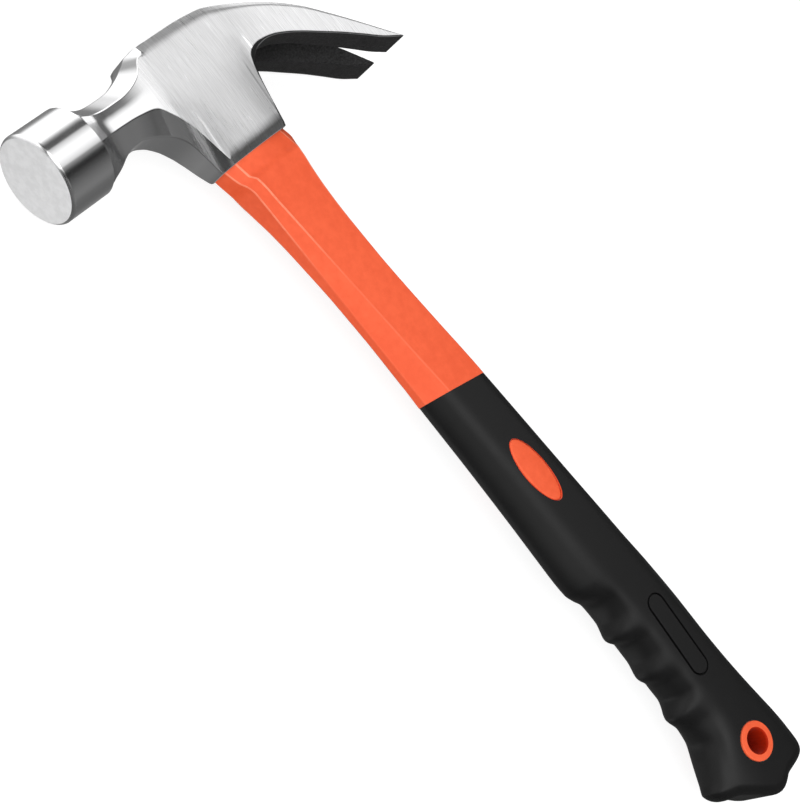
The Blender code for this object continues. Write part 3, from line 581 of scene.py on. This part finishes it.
# ------------------------------------------------------------------ materials
def steel_material():
    """Forged steel: the poll and neck are polished, the cheeks and claw are brushed along the handle."""
    mat, n = new_material('hammer_steel')
    tex = n.add('ShaderNodeTexCoord')
    sep = n.add('ShaderNodeSeparateXYZ')
    n.link(tex.outputs['Object'], sep.inputs[0])
    x, y = sep.outputs['X'], sep.outputs['Y']
    # how far a point is into the brushed cheek, 0 on the polished neck
    flat = n.add('ShaderNodeSeparateXYZ')
    n.link(tex.outputs['Normal'], flat.inputs[0])
    side = n.span(n.math('ABSOLUTE', flat.outputs['Z']), 0.70, 0.88)
    brushed = n.math('MULTIPLY', n.span(y, (45.0 - Y0) * MM, (54.0 - Y0) * MM), side)
    # long fine scratches, a little across the handle's direction
    fine = n.noise(n.coords((90, 3200, 500), (0, 0, 22)), 1.0, 3.0, 0.65)
    coarse = n.noise(n.coords((150, 1500, 300), (0, 0, 26)), 1.0, 2.0, 0.6)
    broad = n.noise(n.coords((60, 60, 60)), 1.0, 2.0, 0.5)
    # fine lines round the poll from polishing along its axis
    buff = n.noise(n.coords((1600, 40, 1600)), 1.0, 2.0, 0.6)
    scratch = n.math('MULTIPLY', n.math('SUBTRACT', fine, 0.5), brushed)
    deep = n.math('MULTIPLY', n.span(coarse, 0.60, 0.78), brushed)
    # colour: slightly darker where brushed, with light scratches
    claw = n.span(y, (88.0 - Y0) * MM, (106.0 - Y0) * MM)
    ground = n.mix(claw, (0.76, 0.76, 0.765), (0.88, 0.88, 0.885))
    base = n.mix(brushed, (0.82, 0.82, 0.825), ground)
    tone = n.math('MULTIPLY_ADD', scratch, 2.2, 0.55)
    tone = n.math('MULTIPLY_ADD', deep, 0.35, tone, clamp=True)
    worn = n.math('MULTIPLY', n.math('SUBTRACT', 1.0, brushed), 0.4)
    dark = n.mix(n.math('ADD', tone, worn, clamp=True), (0.66, 0.66, 0.66), (1.0, 1.0, 1.0))
    mul = n.add('ShaderNodeMix', data_type='RGBA', blend_type='MULTIPLY')
    mul.inputs['Factor'].default_value = 1.0
    rgba = [s for s in mul.inputs if s.type == 'RGBA']
    n.link(base, rgba[0])
    n.link(dark, rgba[1])
    colour = [s for s in mul.outputs if s.type == 'RGBA'][0]
    rough = n.math('MULTIPLY_ADD', brushed, 0.17, 0.15)
    rough = n.math('MULTIPLY_ADD', n.math('SUBTRACT', broad, 0.5), 0.08, rough)
    rough = n.math('MULTIPLY_ADD', scratch, 0.25, rough)
    rough = n.math('MULTIPLY_ADD', deep, -0.06, rough)
    # the striking face is ground, so it is duller than the poll's side
    face = n.span(y, (0.5 - Y0) * MM, (0.1 - Y0) * MM)
    rough = n.math('MULTIPLY_ADD', face, 0.16, rough, clamp=True)
    # striking face: random darker blotches, plus painted shade darkening it towards the crown side
    blotch = n.noise(n.coords((1, 1, 1)), 260.0, 5.0, 0.65)
    blotch_and_painted_shade = n.math('MULTIPLY', face, n.span(blotch, 0.35, 0.65, 0.16, 0.0))
    blotch_and_painted_shade = n.math('MULTIPLY_ADD', face, n.span(sep.outputs['X'], -0.150, -0.172, 0.0, 0.08), blotch_and_painted_shade)
    # painted shade: the cheek is darkened towards its lower edge behind the eye, before the claw
    rear = n.math('MULTIPLY', brushed, n.span(y, (72.0 - Y0) * MM, (90.0 - Y0) * MM))
    rear = n.math('MULTIPLY', rear, n.span(x, (4.0 - X0) * MM, (14.0 - X0) * MM, 0.0, 0.34))
    rear = n.math('MULTIPLY', rear, n.span(y, (87.0 - Y0) * MM, (95.0 - Y0) * MM, 1.0, 0.0))
    blotch_and_painted_shade = n.math('ADD', blotch_and_painted_shade, rear)
    colour = n.mix(blotch_and_painted_shade, colour, (0.30, 0.30, 0.30))
    height = n.math('MULTIPLY_ADD', scratch, 0.7, n.math('MULTIPLY', deep, 0.5))
    polish = n.math('MULTIPLY', n.math('SUBTRACT', 1.0, brushed), n.math('SUBTRACT', buff, 0.5))
    height = n.math('MULTIPLY_ADD', polish, 0.10, height)
    normal = n.bump(height, 0.00004, 1.0)
    n.surface(Base_Color=colour, Metallic=1.0, Roughness=rough, Normal=normal)
    return mat


def claw_black_material():
    """Grainy black scale left on the claw's underside and in the nail slot."""
    mat, n = new_material('claw_black_scale')
    grain = n.noise(n.coords((1, 1, 1)), 1400.0, 4.0, 0.7)
    broad = n.noise(n.coords((1, 1, 1)), 220.0, 3.0, 0.6)
    colour = n.mix(n.span(grain, 0.34, 0.70), (0.006, 0.006, 0.0062), (0.034, 0.034, 0.035))
    rough = n.math('MULTIPLY_ADD', broad, 0.25, 0.42)
    normal = n.bump(n.math('MULTIPLY_ADD', broad, 0.6, grain), 0.00012, 0.9)
    n.surface(Base_Color=colour, Metallic=0.0, Roughness=rough, Normal=normal)
    return mat


def jacket_material():
    """Moulded orange polypropylene with a fine spark-eroded grain."""
    mat, n = new_material('jacket_orange')
    grain = n.noise(n.coords((1, 1, 1)), 2600.0, 3.0, 0.6)
    mottle = n.noise(n.coords((1, 1, 1)), 320.0, 4.0, 0.6)
    flow = n.noise(n.coords((12, 60, 60)), 1.0, 2.0, 0.5)
    tone = n.math('MULTIPLY_ADD', mottle, 0.55, n.math('MULTIPLY', flow, 0.45))
    colour = n.mix(n.span(tone, 0.32, 0.68), (0.86, 0.100, 0.026), (0.95, 0.128, 0.040))
    rough = n.math('MULTIPLY_ADD', mottle, 0.14, 0.40)
    normal = n.bump(n.math('MULTIPLY_ADD', mottle, 0.5, grain), 0.00005, 0.8)
    n.surface(Base_Color=colour, Metallic=0.0, Roughness=rough, Normal=normal, Specular_IOR_Level=0.40)
    return mat


def jacket_painted_highlight_material():
    """The jacket's fillets, with a painted highlight: paler near the head, fading into the plain orange further down.
    """
    mat, n = new_material('jacket_orange_painted_highlight')
    tex = n.add('ShaderNodeTexCoord')
    sep = n.add('ShaderNodeSeparateXYZ')
    n.link(tex.outputs['Object'], sep.inputs[0])
    near = n.span(sep.outputs['X'], (48.0 - X0) * MM, (90.0 - X0) * MM, 0.6, 0.05)
    highlight_breakup = n.noise(n.coords((1, 1, 1)), 420.0, 3.0, 0.6)
    # painted highlight on the fillets, strongest near the head and broken up by noise
    painted_highlight = n.math('MULTIPLY', near, n.span(highlight_breakup, 0.30, 0.60, 0.55, 1.0))
    colour = n.mix(painted_highlight, (0.91, 0.115, 0.034), (1.0, 0.36, 0.22))
    n.surface(Base_Color=colour, Metallic=0.0, Roughness=0.42, Specular_IOR_Level=0.40)
    return mat


def grip_material():
    """Soft black rubber with a satin moulded skin."""
    mat, n = new_material('grip_black')
    grain = n.noise(n.coords((1, 1, 1)), 3000.0, 3.0, 0.6)
    mottle = n.noise(n.coords((1, 1, 1)), 150.0, 3.0, 0.5)
    colour = n.mix(mottle, (0.0044, 0.0044, 0.0045), (0.0066, 0.0066, 0.0067))
    rough = n.math('MULTIPLY_ADD', mottle, 0.12, 0.42)
    normal = n.bump(grain, 0.00003, 0.7)
    n.surface(Base_Color=colour, Metallic=0.0, Roughness=rough, Normal=normal, Specular_IOR_Level=0.27)
    return mat


def painted_shade_material(name, colour, roughness, gloss):
    """Painted shade for deep places that little light reaches: one dark tone with a slight grain."""
    mat, n = new_material(name)
    grain = n.noise(n.coords((1, 1, 1)), 700.0, 2.0, 0.5)
    tone = n.mix(grain, tuple(0.9 * c for c in colour), tuple(1.1 * c for c in colour))
    n.surface(Base_Color=tone, Metallic=0.0, Roughness=roughness, Specular_IOR_Level=gloss)
    return mat


def resin_material():
    """Dark cast epoxy with a few specks."""
    mat, n = new_material('eye_resin_cast')
    specks = n.noise(n.coords((1, 1, 1)), 900.0, 3.0, 0.6)
    cloud = n.noise(n.coords((1, 1, 1)), 160.0, 2.0, 0.5)
    colour = n.mix(n.span(specks, 0.45, 0.75), (0.035, 0.028, 0.020), (0.085, 0.065, 0.045))
    rough = n.math('MULTIPLY_ADD', cloud, 0.2, 0.22)
    normal = n.bump(cloud, 0.0002, 0.5)
    n.surface(Base_Color=colour, Metallic=0.0, Roughness=rough, Normal=normal)
    return mat


def fibre_material():
    """Pultruded fibreglass: straw-coloured resin with fibres along the rod."""
    mat, n = new_material('fibreglass_straw')
    fibres = n.noise(n.coords((30, 4000, 4000)), 1.0, 3.0, 0.7)
    cloud = n.noise(n.coords((1, 1, 1)), 120.0, 2.0, 0.5)
    colour = n.mix(n.span(fibres, 0.35, 0.7), (0.55, 0.47, 0.26), (0.80, 0.74, 0.52))
    rough = n.math('MULTIPLY_ADD', cloud, 0.2, 0.35)
    normal = n.bump(fibres, 0.00004, 0.6)
    n.surface(Base_Color=colour, Metallic=0.0, Roughness=rough, Normal=normal)
    return mat


STEEL = steel_material()
BLACK = claw_black_material()
ORANGE = jacket_material()
# pale orange painted as a highlight on the jacket's fillets
ORANGE_PAINTED_HIGHLIGHT = jacket_painted_highlight_material()
# dark tones painted as shade in the hang hole's bore and in the grip's groove
ORANGE_BORE_SHADE = painted_shade_material('jacket_orange_bore_painted_shade', (0.42, 0.016, 0.0010), 0.6, 0.10)
GRIP_SHADE = painted_shade_material('grip_groove_painted_shade', (0.0010, 0.0010, 0.0011), 0.75, 0.06)
GRIP = grip_material()
RESIN = resin_material()
FIBRE = fibre_material()


# ------------------------------------------------------------------ hammer head
STEPS = 7


def head_region(i, j):
    """Material slot of a head face: 1 is the black scale behind the eye boss and under the claw."""
    if j < 0:
        return 0
    y = 0.5 * (HEAD_STATIONS[i] + HEAD_STATIONS[min(i + 1, len(HEAD_STATIONS) - 1)])
    corner, part = divmod(j, STEPS)
    below = (3 if part >= STEPS // 2 else 9) <= corner <= 6 or (corner == 3 and part >= STEPS // 2)
    if corner == 6 and part >= STEPS // 2:
        below = False
    return 1 if below and y > 85.0 else 0


head = shell('hammer_head_detail', [head_ring(y, STEPS, 0.45) for y in HEAD_STATIONS], STEEL, True, head_region,
             (BLACK,))
slot = shell('slot_cutter', [slot_ring(y) for y in SLOT_STATIONS], BLACK, False)
eye_rings = [stadium_ring(h + (EYE_TOP[0] - h) * t, w + (EYE_TOP[1] - w) * t, EYE_CENTRE_Y, x, 24)
             for (h, w) in [EYE_BOTTOM] for x, t in ((BOSS_BOTTOM + 5, 0.0), (12.0, 0.0), (-25.0, 1.0))]
eye = shell('eye_cutter', eye_rings, STEEL, False)
cut(head, slot)
cut(head, eye)
finish_shading(head, 30.0)
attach(head, 'root')
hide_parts('hammer_head')


# ------------------------------------------------------------------ eye resin
def core_y(x):
    return CORE_Y0 + CORE_SLOPE * (x - CORE_TOP)


def rod_rings(extra, x_start, x_end, steps=16):
    return [stadium_ring(CORE_HALF[0] + extra, CORE_HALF[1] + extra, core_y(x), x, steps) for x in (x_start, x_end)]


def eye_half(x, extra):
    t = max(0.0, min(1.0, (12.0 - x) / 37.0))
    return (EYE_BOTTOM[0] + (EYE_TOP[0] - EYE_BOTTOM[0]) * t - extra,
            EYE_BOTTOM[1] + (EYE_TOP[1] - EYE_BOTTOM[1]) * t - extra)


def resin_ring(inset, drop):
    """Ring of the cast top; it sits a little below the crown and follows its slope."""
    hl, hw = eye_half(-14.4, GAP * 0.5 + inset)
    ring = stadium_ring(hl, max(hw, 0.3), EYE_CENTRE_Y, 0.0, 24)
    return [(curve(CROWN, p[1]) + 0.25 + drop, p[1], p[2]) for p in ring]


resin_rings = [resin_ring(*step) for step in ((5.5, 0.75), (3.5, 0.62), (2.0, 0.42), (1.0, 0.22), (0.4, 0.06),
                                              (0.1, 0.0), (0.0, 0.15))]
resin_rings += [stadium_ring(*eye_half(x, GAP * 0.5), EYE_CENTRE_Y, x, 24) for x in (0.0, 12.0, BOSS_BOTTOM - GAP)]
resin = shell('eye_resin_detail', resin_rings, RESIN, False)
cut(resin, shell('core_room', rod_rings(GAP, CORE_TOP - GAP, BOSS_BOTTOM + 4), RESIN, False))
finish_shading(resin, 35.0)
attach(resin, 'root')
resin.visible_glossy = False
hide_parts('eye_epoxy')

# ------------------------------------------------------------------ handle jacket
JS = 7
jacket_rings = []
for x in JACKET_STATIONS:
    lean = GRIP_SHEAR * max(0.0, min(1.0, (x - 119) / (GRIP_TOP - 119)))
    jacket_rings.append(handle_ring(x, JS, JACKET_SOFT, 0.0, lean))


def tang_rings(inset, start, steps):
    rings = [handle_ring(x, steps, GRIP_SOFT, inset, grip_shear(x)) for x in [start] + TANG_STATIONS[1:]]
    return rings + butt_rings(steps, GRIP_SOFT, inset, 2.0, 3, 3)


jacket_rings += tang_rings(GRIP_WALL, JACKET_EDGE + 0.02, JS)


def jacket_region(i, j):
    """Material slot of a jacket face: 1 on the narrow fillets between the facets, which carry the painted highlight."""
    corner, part = divmod(j, JS)
    return 1 if 0 <= j and part < JS - 1 and corner not in (2, 7) and i < len(JACKET_STATIONS) - 1 else 0


jacket = shell('handle_jacket_detail', jacket_rings, ORANGE, True, jacket_region, (ORANGE_PAINTED_HIGHLIGHT,))


def window_plug(name, extra, lift, crown=0.0, count=96):
    """Oval plug through the grip; a crown above 0 domes its ends and rounds their rims."""
    x, y = OVAL_CENTRE
    top = curve(THICK_MID, x) + lift
    rim = [(1.0, 0.55), (0.992, 0.28), (0.972, 0.10), (0.94, 0.0), (0.8, -0.06), (0.5, -0.14), (0.2, -0.18)]
    steps = [(s, top - d * crown) for s, d in rim] if crown else [(1.0, top)]
    rings = []
    for s, z in [(s, -z) for s, z in reversed(steps)] + steps:
        rings.append(oval_ring((OVAL_HALF[0] + extra) * s, (OVAL_HALF[1] + extra) * s, OVAL_CENTRE, z, count))
    return shell(name, rings, ORANGE, False)


hang_half = curve(THICK_MID, HANG_HOLE[0]) + 0.1
collar = [(HANG_OUTER, 0.34), (HANG_OUTER - 0.03, 0.2), (HANG_OUTER - 0.12, 0.08), (HANG_OUTER - 0.3, 0.0),
          (HANG_BORE - 1.0, 0.0)]
collar = [(r, hang_half - d) for r, d in collar]
bore = [(HANG_BORE, -26.0), (HANG_BORE, -hang_half + 0.75), (HANG_BORE + 0.06, -hang_half + 0.4),
        (HANG_BORE + 0.22, -hang_half + 0.15), (HANG_BORE + 0.45, -hang_half), (HANG_BORE + 0.45, -hang_half - 1.0)]
bore = [(r, z) for r, z in bore if z > -hang_half - 2.0]
cut(jacket, window_plug('oval_boss', 0.0, -0.1, 1.0), 'UNION')
cut(jacket, revolve('hang_tube', [(r, -z) for r, z in reversed(collar)] + collar, HANG_HOLE, ORANGE), 'UNION')
bore = sorted(bore, key=lambda p: p[1])
# the bore's walls take a deep orange: painted shade inside the hang hole
cut(jacket, revolve('hang_bore', bore + [(r, -z) for r, z in reversed(bore)], HANG_HOLE, ORANGE_BORE_SHADE))
cut(jacket, shell('core_hole', rod_rings(GAP, 20.0, CORE_END + GAP), ORANGE, False))
finish_shading(jacket, 30.0)
jacket.visible_glossy = False
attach(jacket, 'root')
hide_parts('handle_jacket')

# ------------------------------------------------------------------ grip sleeve
GS = 9
grip_rings = [handle_ring(x, GS, GRIP_SOFT, 0.0, grip_shear(x)) for x in GRIP_STATIONS]
grip_rings += butt_rings(GS, GRIP_SOFT, 0.0, BUTT_ROUND, 18, 14)
grip = shell('grip_sleeve_detail', grip_rings, GRIP)
cavity_rings = [handle_ring(GRIP_TOP - 8, 3, GRIP_SOFT, GRIP_WALL - GAP, GRIP_SHEAR)]
cavity_rings += tang_rings(GRIP_WALL - GAP, GRIP_TOP - 1.0, 3)
cut(grip, shell('tang_room', cavity_rings, GRIP))
cut(grip, window_plug('windows', GAP, 8.0))
cut(grip, revolve('hang_window', [(HANG_OUTER + GAP, -30.0), (HANG_OUTER + GAP, 30.0)], HANG_HOLE, GRIP))

# shallow groove round a plain round-ended panel on each side; its walls take a near-black painted shade
GROOVE_A, GROOVE_B = (243.3, 74.5), (268.9, 72.0)
GROOVE_HALF, GROOVE_WIDTH, GROOVE_DEPTH = 3.7, 0.8, 0.7


def panel_outline(radius, count=20):
    ax, ay = GROOVE_A
    bx, by = GROOVE_B
    ang = math.atan2(by - ay, bx - ax)
    pts = []
    for (cx, cy), start in (((bx, by), ang - math.pi / 2), ((ax, ay), ang + math.pi / 2)):
        for k in range(count + 1):
            a = start + math.pi * k / count
            pts.append((cx + radius * math.cos(a), cy + radius * math.sin(a)))
    return pts


def groove_tool(name, side):
    outer, inner = panel_outline(GROOVE_HALF + GROOVE_WIDTH / 2), panel_outline(GROOVE_HALF - GROOVE_WIDTH / 2)
    middle = panel_outline(GROOVE_HALF)
    verts, faces = [], []
    n = len(outer)
    for pts, lift in ((outer, 3.0), (outer, 0.0), (middle, -GROOVE_DEPTH), (inner, 0.0), (inner, 3.0)):
        for x, y in pts:
            off = abs(y - curve(MID_Y, x))
            z = curve(THICK_MID, x) - 0.045 * off - 0.004 * off * off + lift
            verts.append((x, y, side * z))
    for i in range(5):
        m = (i + 1) % 5
        for k in range(n):
            j = (k + 1) % n
            faces.append((i * n + k, i * n + j, m * n + j, m * n + k))
    return mesh_object(name, verts, faces, [0] * len(faces), [GRIP_SHADE])


cut(grip, groove_tool('groove_near', 1))
cut(grip, groove_tool('groove_far', -1))
finish_shading(grip, 40.0)
grip.visible_glossy = False
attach(grip, 'root')
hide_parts('grip_sleeve')

# ------------------------------------------------------------------ carried-over CAD node
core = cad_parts['fibreglass_core']
core.visible_glossy = False
core.data.materials.clear()
core.data.materials.append(FIBRE)

# ------------------------------------------------------------------ floor, light, camera
floor_mesh = bpy.data.meshes.new('floor')
size = 6.0
floor_mesh.from_pydata([(-size, -size, -0.0002), (size, -size, -0.0002), (size, size, -0.0002), (-size, size, -0.0002)],
                       [], [(0, 1, 2, 3)])
floor = bpy.data.objects.new('floor', floor_mesh)
bpy.context.scene.collection.objects.link(floor)
floor_mat, n = new_material('floor_white')
n.surface(Base_Color=(0.34, 0.34, 0.34), Roughness=0.9, Specular_IOR_Level=0.0,
          Emission_Color=(1.0, 1.0, 1.0), Emission_Strength=0.82)
floor_mesh.materials.append(floor_mat)
floor.visible_glossy = False
floor.visible_diffuse = False

# soft boxes and flags round a line along the head: (angle from straight up towards the butt, display grey)
PANELS = [(-180, 124), (-158, 116), (-146, 112), (-136, 122), (-127, 145), (-120, 225), (-110, 270), (-100, 285),
          (-66, 285), (-59, 250), (-52, 152), (-45, 66), (-36, 80), (-28, 196), (-18, 250), (-6, 262), (4, 246),
          (12, 214), (20, 160), (28, 56), (36, 32), (45, 62), (60, 90), (80, 110), (96, 112), (106, 98), (124, 92),
          (142, 96), (158, 112), (172, 126), (180, 124)]
STEEL_SHARE = 0.80


def studio_world():
    world = bpy.data.worlds.new('studio')
    bpy.context.scene.world = world
    world.use_nodes = True
    n = Nodes(world.node_tree)
    tex = n.add('ShaderNodeTexCoord')
    sep = n.add('ShaderNodeSeparateXYZ')
    n.link(tex.outputs['Generated'], sep.inputs[0])
    x, y, z = sep.outputs
    turn = n.math('ARCTAN2', x, z)
    share = n.math('MULTIPLY_ADD', turn, 1 / (2 * math.pi), 0.5)
    ramp = n.add('ShaderNodeValToRGB')
    ramp.color_ramp.interpolation = 'LINEAR'
    stops = ramp.color_ramp.elements
    while len(stops) > 1:
        stops.remove(stops[-1])
    stops[0].position = 0.0
    for k, (a, v) in enumerate(PANELS):
        e = stops[0] if k == 0 else stops.new(a / 360 + 0.5)
        g = grey(v) / STEEL_SHARE
        e.color = (g, g, g, 1.0)
    n.link(share, ramp.inputs['Fac'])
    # low in front they are dimmer, high in front there is one bright lamp
    level = n.span(y, -0.7, 0.1, 0.80, 1.04)
    top_front = n.math('MULTIPLY', n.span(z, 0.25, 0.65), n.span(y, -0.1, -0.45))
    level = n.math('MULTIPLY_ADD', top_front, 2.2, level)
    lit = n.math('MULTIPLY', level, n.span(y, 0.76, 0.965, 1.0, 0.0))
    lit = n.math('MULTIPLY', lit, n.span(y, -0.95, -0.62, 0.5, 1.0))
    gloss = n.add('ShaderNodeBackground')
    n.link(ramp.outputs['Color'], gloss.inputs['Color'])
    n.link(lit, gloss.inputs['Strength'])
    dim = n.add('ShaderNodeBackground')
    dim.inputs['Color'].default_value = (1.0, 1.0, 1.0, 1.0)
    wall = n.math('MULTIPLY', n.span(y, -0.36, -0.46), n.span(z, -0.45, -0.65, 0.0, 0.92))
    wall = n.math('MULTIPLY', wall, n.span(x, -0.42, -0.28))
    wall = n.math('MULTIPLY', wall, n.span(x, 0.20, 0.06))
    n.link(n.math('ADD', wall, n.span(y, 0.76, 0.965, 0.0, 0.12)), dim.inputs['Strength'])
    both = n.add('ShaderNodeAddShader')
    n.link(gloss.outputs[0], both.inputs[0])
    n.link(dim.outputs[0], both.inputs[1])
    soft = n.add('ShaderNodeBackground')
    soft.inputs['Color'].default_value = (1.0, 1.0, 1.0, 1.0)
    d = n.math('MULTIPLY_ADD', y, -0.75, n.math('MULTIPLY_ADD', z, 0.9, 0.42))
    d = n.math('MAXIMUM', d, 0.06)
    n.link(d, soft.inputs['Strength'])
    plain = n.add('ShaderNodeBackground')
    plain.inputs['Color'].default_value = (1.0, 1.0, 1.0, 1.0)
    plain.inputs['Strength'].default_value = 1.0
    path = n.add('ShaderNodeLightPath')
    m1 = n.add('ShaderNodeMixShader')
    n.link(path.outputs['Is Glossy Ray'], m1.inputs[0])
    n.link(soft.outputs[0], m1.inputs[1])
    n.link(both.outputs[0], m1.inputs[2])
    m2 = n.add('ShaderNodeMixShader')
    n.link(path.outputs['Is Camera Ray'], m2.inputs[0])
    n.link(m1.outputs[0], m2.inputs[1])
    n.link(plain.outputs[0], m2.inputs[2])
    out = n.add('ShaderNodeOutputWorld')
    n.link(m2.outputs[0], out.inputs['Surface'])
    world.cycles.sampling_method = 'NONE'


studio_world()

scene = bpy.context.scene
scene.view_settings.view_transform = 'Standard'
scene.view_settings.look = 'None'

camera_data = bpy.data.cameras.new('camera')
camera_data.sensor_fit = 'HORIZONTAL'
camera_data.sensor_width = 36.0
camera_data.lens = 81.0
camera_data.clip_start, camera_data.clip_end = 0.01, 50.0
camera = bpy.data.objects.new('camera', camera_data)
bpy.context.scene.collection.objects.link(camera)
right, up, back = Vector((0.6357, 0.5887, 0.4993)), Vector((-0.765, 0.5671, 0.3053)), Vector((-0.1034, -0.576, 0.8109))
turn = Matrix((right, up, back)).transposed()
camera.matrix_world = Matrix.Translation(place(68.25, -298.46, 496.18)) @ turn.to_4x4()
scene.camera = camera
